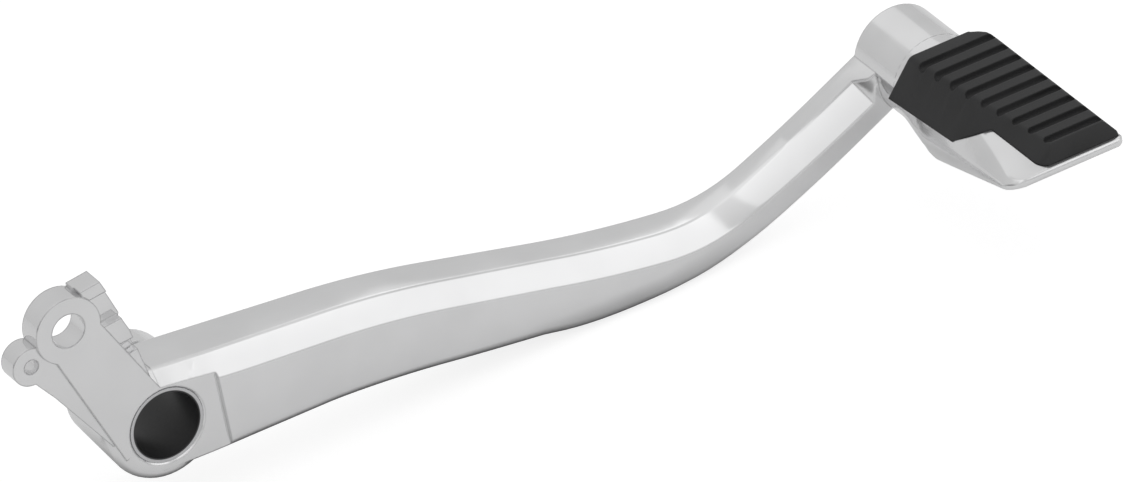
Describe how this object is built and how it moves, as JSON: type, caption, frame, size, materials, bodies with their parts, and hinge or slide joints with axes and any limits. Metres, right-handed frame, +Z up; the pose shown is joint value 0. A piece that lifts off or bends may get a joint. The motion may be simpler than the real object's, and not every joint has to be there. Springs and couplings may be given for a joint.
{
  "type": "motorcycle brake lever",
  "caption": "Foot brake lever for a motorcycle: a chromed casting with a pivot boss, a clevis bracket, a cranked arm and a ribbed rubber pedal pad.",
  "frame": {"origin": "on the pivot axis, in the machined outer face of the pivot boss", "axes": "+X forward along the motorcycle, from the pivot towards the pedal; +Z up; -Y outboard, to the rider's foot"},
  "size_m": [0.2435, 0.0848, 0.0642],
  "materials": {
    "chrome": "polished chrome plate",
    "bush_steel": "rolled steel, dark lining inside",
    "rubber": "moulded, fine grain"
  },
  "bodies": {
    "root": {"lever_arm": "chrome", "pivot_bush": "bush_steel", "pedal_rubber": "rubber"}
  },
  "joints": []
}
